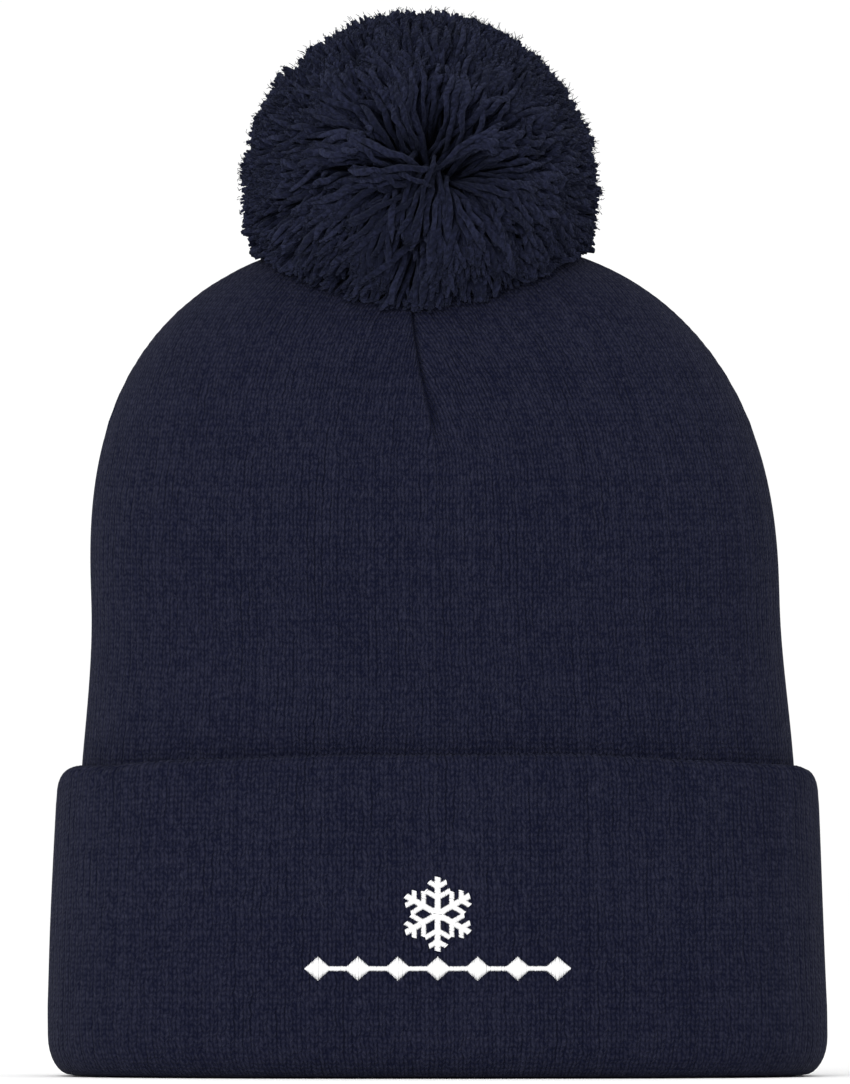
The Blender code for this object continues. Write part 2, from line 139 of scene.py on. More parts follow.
class Wire:
    """A shader socket that takes Python's operators; each operator adds one Math node."""

    def __init__(self, tree, socket=None):
        self.tree = tree
        self.socket = socket

    def node(self, kind, inputs=None, output=0, **settings):
        """Add a node: its settings first, then the value or wire of each of its sockets."""
        made = self.tree.nodes.new(kind)
        for name, value in settings.items():
            setattr(made, name, value)
        for key, value in (inputs or {}).items():
            if isinstance(value, Wire):
                self.tree.links.new(value.socket, made.inputs[key])
            else:
                made.inputs[key].default_value = value
        return Wire(self.tree, made.outputs[output])

    def math(self, operation, *values, clamp=False):
        return self.node("ShaderNodeMath", dict(enumerate(values)), operation=operation, use_clamp=clamp)

    def __add__(self, other):
        return self.math("ADD", self, other)

    __radd__ = __add__

    def __mul__(self, other):
        return self.math("MULTIPLY", self, other)

    __rmul__ = __mul__

    def __sub__(self, other):
        return self.math("SUBTRACT", self, other)

    def __rsub__(self, other):
        return self.math("SUBTRACT", other, self)

    def __pow__(self, other):
        return self.math("POWER", self, other)

    def __abs__(self):
        return self.math("ABSOLUTE", self)

    def part(self):
        return self.math("FRACT", self)

    def sine(self):
        return self.math("SINE", self)

    def held(self):
        """Clamped to 0..1."""
        return self.math("ADD", self, 0.0, clamp=True)

    def whole(self):
        return self.math("FLOOR", self)

    def chance(self, first, second):
        """A random number that stays the same over each whole pair of numbers."""
        pair = self.node("ShaderNodeCombineXYZ", {0: first, 1: second})
        return self.node("ShaderNodeTexWhiteNoise", {"Vector": pair}, noise_dimensions="2D")

    def ease(self, low, high):
        """A smooth step from 0 at `low` to 1 at `high`."""
        values = {"Value": self, "From Min": low, "From Max": high, "To Min": 0.0, "To Max": 1.0}
        return self.node("ShaderNodeMapRange", values, interpolation_type="SMOOTHSTEP")

    def noise(self, vector, scale, detail=2.0, rough=0.5):
        values = {"Vector": vector, "Scale": scale, "Detail": detail, "Roughness": rough}
        return self.node("ShaderNodeTexNoise", values)

    def stretch(self, vector, scale):
        return self.node("ShaderNodeVectorMath", {0: vector, 1: scale}, operation="MULTIPLY")

    def parts(self, vector):
        split = self.tree.nodes.new("ShaderNodeSeparateXYZ")
        self.tree.links.new(vector.socket, split.inputs[0])
        return [Wire(self.tree, output) for output in split.outputs]

    def blend(self, share, first, second):
        """A colour between two colours."""
        first = first if isinstance(first, Wire) else (*first, 1.0)
        second = second if isinstance(second, Wire) else (*second, 1.0)
        values = {0: share, 6: first, 7: second}
        return self.node("ShaderNodeMix", values, output=2, data_type="RGBA")

    def bump(self, height, distance, strength=1.0):
        values = {"Height": height, "Distance": distance, "Strength": strength}
        return self.node("ShaderNodeBump", values)


def finish_of(name, roughness, sheen, sheen_tint, sheen_roughness, specular):
    """A new material with its constants set: (material, its shader's inputs, a wire to build on)."""
    material = bpy.data.materials.new(name)
    material.use_nodes = True
    tree = material.node_tree
    shader = tree.nodes["Principled BSDF"]
    shader.inputs["Roughness"].default_value = roughness
    shader.inputs["Sheen Weight"].default_value = sheen
    shader.inputs["Sheen Tint"].default_value = (*sheen_tint, 1.0)
    shader.inputs["Sheen Roughness"].default_value = sheen_roughness
    shader.inputs["Specular IOR Level"].default_value = specular
    return material, shader.inputs, Wire(tree)


def feed(inputs, name, wire):
    wire.tree.links.new(wire.socket, inputs[name])


def object_place(maker):
    return maker.node("ShaderNodeTexCoord", output=3)


def point_value(maker, name):
    return maker.node("ShaderNodeAttribute", output=2, attribute_name=name)


def wave(value):
    """0 to 1 and back over each whole step of a wire's value."""
    return ((value * (2.0 * math.pi)).sine() + 1.0) * 0.5


# ---------------------------------------------------------------- yarn and cloth materials

def knit_yarn(name, deep, light):
    """Stocking-stitch knit in matt yarn: columns of paired legs, each stitch a leaning loop.

    The UV map counts wales across and courses along, so the stitches follow the cloth. Every leg,
    wale and course is a little lighter or darker than the next, as hand-feel yarn is. The colour
    is also darker in the grooves between legs, in the gaps between wales and deep in the dart
    folds: painted shade.
    """
    material, inputs, maker = finish_of(name, 0.95, 0.02, (0.60, 0.66, 0.90), 0.45, 0.06)
    place = object_place(maker)
    across, along, _ = maker.parts(maker.node("ShaderNodeUVMap", uv_map="stitches"))
    drift = maker.noise(place, 330.0, 1.0) - 0.5
    sway = maker.noise(place, 95.0, 1.0) - 0.5
    across = across + drift * 0.62 + sway * 0.34
    wale = across.part()
    fold = abs(wale - 0.5) * 2.0
    leg = (fold * math.pi).sine() ** 0.7
    course = along + fold * 0.48 + drift * 1.20 + sway * 0.80
    loop = wave(course)
    column = (across * 2.0).whole()
    row = (course + 0.25).whole()
    stitch = maker.chance(column, row)
    streak = maker.chance(column, 7.0)
    band = maker.chance(3.0, row)
    fibre = maker.noise(maker.stretch(place, (1.0, 1.0, 0.40)), 2400.0, 3.0, 0.70)
    fuzz = maker.noise(place, 800.0, 3.0, 0.65)
    patch = maker.noise(place, 48.0, 2.0)
    gap = maker.noise(maker.stretch(place, (1.0, 1.0, 0.22)), 210.0, 2.0).ease(0.50, 0.68)
    gap = gap * fold.ease(0.72, 0.98)
    # Painted shade: the raised yarn of each leg is lighter, and the grooves between legs and the gaps between
    # wales are darker, on top of the bump. The stitch, streak, band and patch terms are the yarn's own uneven
    # tone.
    yarn = leg * (0.40 + 0.60 * loop)
    height = yarn * (0.75 + 0.35 * stitch) + fibre * 0.40 + fuzz * 0.40 - gap * 0.30
    lit = yarn * 0.62 + (stitch - 0.5) * 0.26 + (streak - 0.5) * 0.14 + (band - 0.5) * 0.09
    lit = lit + (fibre - 0.5) * 1.20 + (fuzz - 0.5) * 1.35 + (patch - 0.5) * 0.18 - gap * 0.40
    # Painted shade: the colour is darkened deep in each dart fold.
    lit = lit * (1.0 - point_value(maker, "crease_shade") * 0.85)
    feed(inputs, "Base Color", maker.blend(lit.held(), deep, light))
    feed(inputs, "Normal", maker.bump(height, 0.00050, 1.0))
    return material


def strand_yarn(name):
    """Plied acrylic yarn: each strand has its own tint and twists. Its colour is painted darker
    towards its root, as shade deep in the ball, and lighter towards its tip, as light on the ball's
    outside.
    """
    material, inputs, maker = finish_of(name, 0.95, 0.06, (0.50, 0.58, 0.95), 0.40, 0.05)
    place = object_place(maker)
    tint = point_value(maker, "tint")
    reach = point_value(maker, "reach")
    round_it, along, _ = maker.parts(maker.node("ShaderNodeUVMap", uv_map="ply"))
    wander = maker.noise(place, 300.0, 1.0) - 0.5
    twist = wave(round_it * 2.0 + along + wander * 0.8)
    fibre = maker.noise(place, 1700.0, 3.0, 0.75)
    tuft = maker.noise(place, 620.0, 3.0, 0.65)
    # The twist term paints the plies' ridges lighter than the grooves between them: painted shade, beside the
    # bump. The fibre and tuft noise are the yarn's own mottle.
    lit = twist * 0.24 + fibre * 1.25 + (tuft - 0.5) * 1.6 - 0.28
    colour = maker.blend(lit.ease(0.0, 0.80), POM_DEEP, POM_NAVY)
    # The reach term is painted light: each strand's outer end, on the ball's outside, is lightened. The tint
    # term is each strand's own tone.
    bright = (lit - 0.30) * 0.70 + (tint - 0.5) * 0.5 + (reach - 0.80) * 0.30
    colour = maker.blend(bright.held(), colour, POM_LIGHT)
    # Painted shade: each strand is darkened towards its root, deep in the ball.
    colour = maker.blend((1.0 - reach.ease(0.10, 0.75)) * 0.20, colour, POM_DEEP)
    colour = maker.blend(((0.45 - tint) * 0.9).held(), colour, POM_DEEP)
    feed(inputs, "Base Color", colour)
    feed(inputs, "Normal", maker.bump(twist * 0.4 + fibre * 0.8 + tuft * 0.9, 0.00070, 1.0))
    return material


def satin_thread(name, colour, shade, roughness=0.42):
    """Smooth machine thread with a fine twist across each stitch."""
    material, inputs, maker = finish_of(name, roughness, 0.15, (1.0, 1.0, 1.0), 0.3, 0.45)
    place = object_place(maker)
    twist = maker.noise(place, 3200.0, 2.0)
    wear = maker.noise(place, 350.0, 2.0)
    feed(inputs, "Base Color", maker.blend((wear * 0.35 + twist * 0.25).held(), colour, shade))
    feed(inputs, "Normal", maker.bump(twist, 0.00006, 0.7))
    return material


def woven_tape(name, colour, shade):
    """Close satin-woven tape: fine warp ribs crossed by weft."""
    material, inputs, maker = finish_of(name, 0.55, 0.10, (1.0, 1.0, 1.0), 0.3, 0.40)
    across, along, _ = maker.parts(maker.node("ShaderNodeUVMap", uv_map="weave"))
    fibre = maker.noise(object_place(maker), 2600.0, 2.0)
    lit = wave(across) * 0.5 + wave(along + across * 0.5) * 0.35 + fibre * 0.3
    feed(inputs, "Base Color", maker.blend(lit.held(), shade, colour))
    feed(inputs, "Normal", maker.bump(lit, 0.00009, 0.9))
    return material


KNIT = knit_yarn("navy_stocking_knit", NAVY_DEEP, NAVY_LIGHT)
LINING_KNIT = knit_yarn("navy_lining_knit", LINING_DEEP, LINING_LIGHT)
POM_YARN = strand_yarn("navy_pom_yarn")
WHITE_THREAD = satin_thread("white_satin_thread", (0.88, 0.88, 0.88), (0.70, 0.70, 0.71))
NAVY_THREAD = satin_thread("navy_sewing_thread", (0.016, 0.018, 0.034), (0.008, 0.009, 0.018), 0.6)
LABEL_TAPE = woven_tape("white_label_tape", (0.84, 0.84, 0.82), (0.62, 0.62, 0.61))


# ---------------------------------------------------------------- the hat's outline

def eased(value):
    value = np.clip(value, 0.0, 1.0)
    return value * value * (3.0 - 2.0 * value)


def unit(vectors):
    return vectors / np.maximum(np.linalg.norm(vectors, axis=-1, keepdims=True), 1e-12)


def oval(turns, half_width, half_depth, squareness):
    """Points on an oval whose long sides lie flatter as squareness passes 2."""
    power = 2.0 / squareness
    across, along = np.cos(turns), np.sin(turns)
    x = half_width * np.sign(across) * np.abs(across) ** power
    y = half_depth * np.sign(along) * np.abs(along) ** power
    return x, y


def crown_ratio(heights, top):
    """How far the crown has drawn in: 1 at the spring line, 0 at its top."""
    rise = np.clip((heights - SPRING) / (top - SPRING), 0.0, 1.0)
    return (1.0 - rise ** CROWN_POWER) ** (1.0 / CROWN_POWER)


def crown_lean(heights):
    return POM_AXIS * eased((heights - LEAN_START) / (CROWN - LEAN_START))


def cap_at(turns, heights, inset, top, ease):
    """Points on one face of a cap layer; `inset` is how far it lies inside the cap's outside."""
    ratio = crown_ratio(heights, top)
    inset = inset + ease * eased((heights - EASE_START) / (EASE_END - EASE_START))
    flare = 1.0 - eased((heights - FLARE_START) / (FLARE_END - FLARE_START))
    half_width = CAP_HALF_WIDTH + CAP_FLARE_WIDTH * flare - inset
    half_depth = CAP_HALF_DEPTH + CAP_FLARE_DEPTH * flare - inset
    half_width = CROWN_HOLE + (half_width - CROWN_HOLE) * ratio
    half_depth = CROWN_HOLE + (half_depth - CROWN_HOLE) * ratio
    x, y = oval(turns, half_width, half_depth, 2.0 + (SQUARENESS - 2.0) * ratio)
    return np.stack([x + crown_lean(heights), y, heights + 0.0 * x], axis=-1)


def cuff_taper(heights):
    return CUFF_TAPER * np.maximum(heights - CUFF_WIDEST, 0.0) / (CUFF_HEM - CUFF_WIDEST)


def cuff_at(turns, heights, inset):
    """Points on the cuff, `inset` inside its widest outline; its hem rises to front and back."""
    x, y = oval(turns, CUFF_HALF_WIDTH - inset, CUFF_HALF_DEPTH - inset, SQUARENESS)
    share = np.maximum(heights - CUFF_RISE_START, 0.0) / (CUFF_HEM - CUFF_RISE_START)
    start, wide, deep = HEM_CORNER
    corner = np.clip((np.abs(x) - start) / wide, 0.0, 1.0)
    dip = deep * (1.0 - np.sqrt(1.0 - corner ** 2))
    rise = CUFF_HEM_RISE * (1.0 - (x / CUFF_HALF_WIDTH) ** 2) * share
    return np.stack([x, y, heights + rise - dip * share], axis=-1)


def cuff_front(x, heights):
    """How far forward the cuff's face stands at places on its front."""
    inset = cuff_taper(heights)
    share = np.abs(x) / (CUFF_HALF_WIDTH - inset)
    return (CUFF_HALF_DEPTH - inset) * (1.0 - share ** SQUARENESS) ** (1.0 / SQUARENESS)


def even_turns(columns):
    """Angles that share out the hat's girth; the cloth is a little more stretched at the sides."""
    fine = np.linspace(0.0, 2.0 * math.pi, 16001)
    x, y = oval(fine, CAP_HALF_WIDTH, CAP_HALF_DEPTH, SQUARENESS)
    run = np.concatenate([[0.0], np.cumsum(np.hypot(np.diff(x), SIDE_STRETCH * np.diff(y)))])
    return np.interp(np.arange(columns) / columns, run / run[-1], fine)


def run_of(points):
    """Distance along a line of points."""
    steps = np.linalg.norm(np.diff(points, axis=0), axis=1)
    return np.concatenate([[0.0], np.cumsum(steps)])


def lumps(turns, heights, size, seed):
    """Slow uneven swelling of hand-soft cloth, the same on every run."""
    chance = np.random.default_rng(seed)
    total = 0.0
    for _ in range(7):
        around, up = chance.integers(1, 7), chance.uniform(-70.0, 70.0)
        total = total + np.sin(around * turns + up * heights + chance.uniform(0.0, 6.28))
    return total * size / 7.0


# ---------------------------------------------------------------- pieces and their meshes

def linked(name, data):
    """A new object in the scene."""
    made = bpy.data.objects.new(name, data)
    bpy.context.scene.collection.objects.link(made)
    return made


def mesh_of(name, bm):
    mesh = bpy.data.meshes.new(name)
    bm.to_mesh(mesh)
    bm.free()
    return mesh


def fetched(items, key, width=1, kind=np.int32):
    """One property of every item, as an array."""
    values = np.zeros(len(items) * width, kind)
    items.foreach_get(key, values)
    return values


def keep_value(mesh, name, values):
    """A value for each vertex, kept as an attribute."""
    kept = mesh.attributes.new(name, "FLOAT", "POINT")
    kept.data.foreach_set("value", values.astype(np.float32))


def keep_uv(mesh, name, across, along):
    values = np.stack([across.ravel(), along.ravel()], axis=-1)
    mesh.uv_layers.new(name=name).data.foreach_set("uv", values.astype(np.float32).ravel())


def smooth_finish(mesh, material):
    mesh.materials.append(material)
    mesh.shade_smooth()
    mesh.update()


# ---------------------------------------------------------------- knit tubes

def knit_tube(name, columns, rows):
    """A grid of quads joined into a ring both ways; its mesh, and each vertex's row and column."""
    bm = bmesh.new()
    bmesh.ops.create_grid(bm, x_segments=columns, y_segments=rows, size=1.0)
    cells = {}
    for vert in bm.verts:
        key = round((vert.co.y + 1.0) / 2.0 * rows), round((vert.co.x + 1.0) / 2.0 * columns)
        cells[key] = vert
    joins = {cells[row, columns]: cells[row % rows, 0] for row in range(rows + 1)}
    joins.update({cells[rows, column]: cells[0, column] for column in range(columns)})
    bmesh.ops.weld_verts(bm, targetmap=joins)
    mesh = mesh_of(name, bm)
    places = (fetched(mesh.vertices, "co", 3, np.float32).reshape(-1, 3) + 1.0) / 2.0
    row = np.rint(places[:, 1] * rows).astype(int) % rows
    return mesh, row, np.rint(places[:, 0] * columns).astype(int) % columns


def grid_normals(grid):
    """Outward normals of a grid of points, rows by columns, that closes round its columns."""
    round_it = np.roll(grid, -1, axis=1) - np.roll(grid, 1, axis=1)
    along = np.gradient(grid, axis=0)
    return unit(np.cross(round_it, along))


def lay_stitches(mesh, row, column, columns, courses, shrink):
    """The UV map that counts stitches. In a crown that shrinks, each of the four panels keeps its
    own straight wales, and the ones that no longer fit run out at the darts."""
    corners = fetched(mesh.loops, "vertex_index")
    columns_of = column[corners].reshape(-1, 4).astype(float)
    wraps = columns_of.max(1, keepdims=True) - columns_of.min(1, keepdims=True) > columns / 2
    columns_of = np.where(wraps & (columns_of < columns / 2), columns_of + columns, columns_of)
    share = columns_of / columns
    panel = (np.floor(share.mean(1, keepdims=True) * DARTS) + 0.5) / DARTS
    rows_of = row[corners].reshape(-1, 4)
    across = WALES * (panel + (share - panel) * shrink[rows_of])
    keep_uv(mesh, "stitches", across, courses[rows_of])


def knit_piece(name, grid, courses, shrink, material, crease_shade=None):
    """A knit tube whose vertices lie on `grid`, rows by columns."""
    rows, columns = grid.shape[:2]
    mesh, row, column = knit_tube(name, columns, rows)
    mesh.vertices.foreach_set("co", grid[row, column].astype(np.float32).ravel())
    # How deep each point lies in a dart fold, kept for the painted shade there.
    if crease_shade is not None:
        keep_value(mesh, "crease_shade", crease_shade[row, column])
    lay_stitches(mesh, row, column, columns, courses, shrink)
    smooth_finish(mesh, material)
    return linked(name, mesh)


def wale_relief(columns, shrink):
    """Height of the ribs that the wales make, rows by columns."""
    share = np.arange(columns) / columns
    panel = (np.floor(share * DARTS) + 0.5) / DARTS
    across = WALES * (panel + (share - panel) * shrink[:, None])
    return -WALE_RELIEF * np.cos(2.0 * math.pi * across)


def dart_folds(columns, heights, girths):
    """Creases at the four darts, where one panel tucks under the next: steep on one side, with the
    cloth puffed up beside it. Returns their relief, and how deep in each fold each point lies,
    which darkens the knit's colour there as painted shade."""
    off = ((np.arange(columns) / columns * DARTS + 0.5) % 1.0 - 0.5) / DARTS
    away = off[None, :] * girths[:, None]
    fade = eased((heights - DART_OPENS) / 0.005)[:, None]
    rise = np.clip((heights - 0.182) / (CROWN - 0.182), 0.0, 1.0)[:, None]
    wide = 0.0010 + 0.0024 * np.exp(-(((heights[:, None] - DART_POCKET) / 0.0080) ** 2))
    wide = np.where(away > 0.0, wide, 0.0006)
    valley = np.exp(-((away / wide) ** 2))
    ridge = np.exp(-(((away + 0.0019) / 0.0015) ** 2))
    nearest = np.rint(np.arange(columns) / columns * DARTS).astype(int) % DARTS
    fade = fade * np.array(DART_STRENGTHS)[nearest]
    relief = fade * DART_DEPTH * (1.0 - 0.3 * rise) * (0.22 * ridge - valley)
    return relief, fade * np.exp(-((away / (0.62 * wide)) ** 2))


def crown_rows(foot, top, step):
    """Heights from a layer's foot up its side, and on over the crown at even steps."""
    side = np.linspace(foot, SPRING, int((SPRING - foot) / step), endpoint=False)
    turns = np.radians(np.linspace(0.0, 90.0, 500))
    heights = SPRING + (top - SPRING) * np.sin(turns) ** (2.0 / CROWN_POWER)
    line = cap_at(math.radians(45.0), heights, 0.0, top, 0.0)
    run = run_of(line)
    even = np.linspace(0.0, run[-1], int(run[-1] / step) + 1)
    return np.concatenate([side, np.interp(even, run, heights)])


def crown_twist(heights):
    """The crown was gathered a little askew, so its darts run off to one side as they rise."""
    start = 0.008 * eased((heights - 0.130) / 0.040)
    return start - 0.062 * eased((heights - DART_FOOT) / (CROWN - DART_FOOT))


def cap_layer(name, columns_per_wale, inset, top, ease, material, seed, shown):
    """One layer of the cap: up its outer face to the crown's hole and back down its inner face.
    The shown face, 0 the outer or 1 the inner, has the fine rows and the relief."""
    columns = WALES * columns_per_wale
    turns = even_turns(columns)
    steps = (ROW, 11.0 * ROW) if shown == 0 else (9.0 * ROW, 1.3 * ROW)
    outer = crown_rows(CAP_FOOT, top, steps[0])
    inner = crown_rows(CAP_FOOT, top - WALL, steps[1])[::-1]
    heights = np.concatenate([outer, inner])
    face = np.repeat([0, 1], [len(outer), len(inner)])
    insets = inset + face * WALL
    tops = top - face * WALL
    twisted = turns[None, :] + crown_twist(heights)[:, None] * (shown == 0)
    grid = cap_at(twisted, heights[:, None], insets[:, None], tops[:, None], ease)
    girths = np.linalg.norm(np.roll(grid, -1, axis=1) - grid, axis=-1).sum(axis=1)
    order = np.argsort(heights, kind="stable")
    shrink = np.minimum(girths / np.interp(DART_FOOT, heights[order], girths[order]), 1.0)
    run = run_of(grid[:, columns // 8])
    courses = (run - run[0] if shown == 0 else run[-1] - run) / COURSE
    folds, crease_shade = dart_folds(columns, heights, girths)
    raised = wale_relief(columns, shrink) + folds * (shown == 0)
    raised = raised + lumps(turns[None, :], heights[:, None], LUMP, seed)
    raised *= (np.clip(girths / 0.05, 0.0, 1.0) * (face == shown))[:, None]
    grid = grid + grid_normals(grid) * raised[..., None]
    return knit_piece(name, grid, courses, shrink, material, crease_shade * (shown == 0))


def fold_over(radius, start_inset, height, steps):
    """The hem's turn, from the face over the top and down to the inside."""
    turns = np.linspace(0.0, math.pi, steps)
    return [(start_inset + radius * (1.0 - math.cos(t)), height + radius * math.sin(t)) for t in turns]


def cuff_face():
    """The cuff's face: from the lip under the cap, round the rim, up, and over the hem."""
    columns = WALES * COLUMNS_PER_WALE
    turns = even_turns(columns)
    lip = LINING_INSET + WALL + CUFF_HALF_WIDTH - CAP_HIGH.x
    curl = 0.0014
    profile = [(lip + 0.0002, 2.2 * curl), (lip, curl), (lip - 0.3 * curl, 0.3 * curl), (lip - curl, 0.0)]
    profile += [(inset, 0.0) for inset in np.linspace(lip - 2.0 * curl, RIM_WIDTH, 3)]
    for turn in np.radians(np.linspace(12.0, 90.0, 8)):
        profile.append((RIM_WIDTH * (1.0 - math.sin(turn)), RIM_HEIGHT * (1.0 - math.cos(turn))))
    radius = CUFF_STACK / 2.0
    shoulder = CUFF_HEM - radius
    count = int((shoulder - RIM_HEIGHT) / ROW)
    for height in np.linspace(RIM_HEIGHT, shoulder, count + 1)[1:-1]:
        profile.append((float(cuff_taper(height)), float(height)))
    profile += fold_over(radius, CUFF_TAPER, shoulder, 11)
    profile += [(CUFF_INSIDE, shoulder - 0.003), (CUFF_INSIDE, shoulder - 0.006)]
    outside = len(profile)
    back = CUFF_TAPER + WALL
    profile += [(CUFF_INSIDE - WALL, shoulder - 0.006), (CUFF_INSIDE - WALL, shoulder)]
    profile += [(back + 0.0001, shoulder), (back, shoulder - 0.008), (WALL + 0.0016, 0.045)]
    profile += [(WALL + 0.0001, 0.020), (WALL + 0.002, 0.008), (RIM_WIDTH + 0.002, WALL), (lip - 0.001, WALL)]
    insets, heights = np.array(profile).T
    grid = cuff_at(turns[None, :], heights[:, None], insets[:, None])
    girth = np.ones(len(profile))
    rib = 1.0 + 1.8 * eased((heights - shoulder) / radius)
    raised = wale_relief(columns, girth) * rib[:, None]
    raised = raised + lumps(turns[None, :], heights[:, None], LUMP, CUFF_LUMP_SEED)
    raised *= (eased((heights - 0.002) / 0.006))[:, None]
    raised[outside:] = 0.0
    wave = lumps(turns * 2.0, turns * 0.01, 0.0007, 23)
    grid[..., 2] += wave[None, :] * eased((heights - 0.055) / 0.03)[:, None]
    grid = grid + grid_normals(grid) * raised[..., None]
    courses = -run_of(grid[:, columns // 8]) / COURSE
    return knit_piece("cuff_face_knit", grid, courses, girth, KNIT)


def cuff_inner():
    """The hem allowance behind the cuff's face."""
    columns = WALES * 2
    turns = even_turns(columns)
    outer = CUFF_INSIDE - WALL
    top = CUFF_HEM - CUFF_STACK / 2.0 - 0.0066
    heights = np.linspace(INNER_LOW.z, top, 24)
    profile = [(outer, z) for z in heights] + [(CUFF_INSIDE, z) for z in heights[::-3]]
    profile[-1] = (CUFF_INSIDE, INNER_LOW.z)
    insets, heights = np.array(profile).T
    grid = cuff_at(turns[None, :], heights[:, None], insets[:, None])
    courses = run_of(grid[:, columns // 8]) / COURSE
    return knit_piece("cuff_inner_knit", grid, courses, np.ones(len(profile)), LINING_KNIT)


def dress_cap():
    """The cap's two layers. The lining turns under at the rim."""
    outer = cap_layer("cap_outer_knit", COLUMNS_PER_WALE, 0.0, CROWN, 0.0, KNIT, 5, 0)
    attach(outer, "hat_body")
    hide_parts("outer_knit_layer")
    lining = cap_layer(
        "cap_lining_knit", 2, LINING_INSET, LINING_CROWN, LINING_EASE, LINING_KNIT, 7, 1
    )
    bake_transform(lining)
    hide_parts("lining_knit_layer")
    return outer, lining


def dress_cuff():
    face = cuff_face()
    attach(face, "cuff")
    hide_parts("cuff_face_layer")
    inner = cuff_inner()
    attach(inner, "cuff")
    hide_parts("cuff_inner_layer")
    return face, inner


# ---------------------------------------------------------------- many tubes at once

def bundle(name, count, sides, segments):
    """Many closed tubes in one mesh: the mesh, and each vertex's tube, place along and angle."""
    bm = bmesh.new()
    bmesh.ops.create_cone(bm, cap_ends=True, segments=sides, radius1=1.0, radius2=1.0, depth=1.0)
    upright = [edge for edge in bm.edges if abs(edge.verts[0].co.z - edge.verts[1].co.z) > 0.5]
    bmesh.ops.subdivide_edges(bm, edges=upright, cuts=segments - 1, use_grid_fill=False)
    mesh = mesh_of(name, bm)
    places = fetched(mesh.vertices, "co", 3, np.float32).reshape(-1, 3)
    piece = linked(name, mesh)
    copies = piece.modifiers.new("copies", "ARRAY")
    copies.count = count
    copies.use_relative_offset = False
    copies.use_constant_offset = True
    copies.constant_offset_displace = (3.0, 0.0, 0.0)
    depsgraph = bpy.context.evaluated_depsgraph_get()
    whole = bpy.data.meshes.new_from_object(piece.evaluated_get(depsgraph))
    piece.modifiers.clear()
    piece.data = whole
    whole.name = name
    along = np.clip(np.rint((places[:, 2] + 0.5) * segments) / segments, 0.0, 1.0)
    angle = np.arctan2(places[:, 1], places[:, 0])
    return piece, along, angle


def tubes(name, paths, radii, binormals, material, sides, tint=None):
    """Tubes along `paths` (tubes, points, 3) with `radii` (tubes, points).

    Each point along a path is a row of its tube's mesh. The mesh keeps each tube's tint, and its
    "reach", which runs from 0 at each root to 1 at each end.
    """
    count, points = paths.shape[:2]
    piece, along, angle = bundle(name, count, sides, points - 1)
    row = np.rint(along * (points - 1)).astype(int)
    tangents = unit(np.gradient(paths, axis=1))
    ups = unit(np.cross(tangents, binormals[:, None, :]))
    outs = np.cross(ups, tangents)
    centres = paths[:, row]
    spread = radii[:, row, None]
    rim = np.cos(angle)[None, :, None] * ups[:, row] + np.sin(angle)[None, :, None] * outs[:, row]
    mesh = piece.data
    mesh.vertices.foreach_set("co", (centres + rim * spread).astype(np.float32).ravel())
    keep_value(mesh, "reach", np.tile(along, count))
    if tint is not None:
        keep_value(mesh, "tint", np.repeat(tint, len(along)))
    corners = fetched(mesh.loops, "vertex_index")
    starts = fetched(mesh.polygons, "loop_start")
    face_of = np.searchsorted(starts, np.arange(len(corners)), side="right") - 1
    share = ((angle / (2.0 * math.pi)) % 1.0)[corners % len(along)]
    first = share[starts[face_of]]
    share = share + np.rint(first - share)
    lengths = np.linalg.norm(np.diff(paths, axis=1), axis=-1).sum(axis=1)
    turns = along[corners % len(along)] * lengths[corners // len(along)] / PLY_PITCH
    keep_uv(mesh, "ply", share, turns)
    smooth_finish(mesh, material)
    return piece


# ---------------------------------------------------------------- pom-pom

POM_RADIUS = (POM_HIGH.x - POM_LOW.x) / 2.0
POM_CENTRE = np.array([POM_AXIS, 0.0, POM_HIGH.z - POM_RADIUS])
POM_SETTLE = np.array([-0.0015, 0.0, -0.0010])
POM_REACH = POM_RADIUS + 0.0032
CLIPPED = 0.84
STRANDS = 8600
STRAND_POINTS = 11
TUFTS = 700
FIBRES = 24000
PLY_PITCH = 0.0048

# The ball's front pole, the share of the way to it that strands end, and the parting's line
POLE = unit(np.array([0.055, -0.985, 0.155]))
PARTING = 0.87
SLIT = np.array([0.960, 0.050, -0.280])

# The point that the pom-pom's joints turn about, and their limits: axis and degrees
NECK = np.array([POM_AXIS, 0.0, 0.234])
POM_MOVES = ((0, 7.0), (0, -7.0), (1, 7.0), (1, -7.0), (2, 15.0), (2, -15.0))
TOUCHING = 1.03


def crown_level(points):
    """1 on the crown's outside, less within it."""
    x = np.abs(points[..., 0] - crown_lean(points[..., 2])) / CAP_HALF_WIDTH
    y = np.abs(points[..., 1]) / CAP_HALF_DEPTH
    z = np.maximum(points[..., 2] - SPRING, 0.0) / (CROWN - SPRING)
    level = (x ** SQUARENESS + y ** SQUARENESS) ** (CROWN_POWER / SQUARENESS)
    return (level + z ** CROWN_POWER) ** (1.0 / CROWN_POWER)


def clear_of_crown(points, gaps):
    """Points that lie closer to the crown than their gaps are moved straight out of it."""
    lean = crown_lean(points[..., 2])
    middle = np.stack([lean, np.zeros_like(lean), np.full_like(lean, SPRING)], -1)
    from_middle = points - middle
    level = np.maximum(crown_level(points), 1e-3)
    need = 1.0 + gaps / np.maximum(np.linalg.norm(from_middle, axis=-1) / level, 1e-3)
    return middle + from_middle * np.maximum(need / level, 1.0)[..., None]


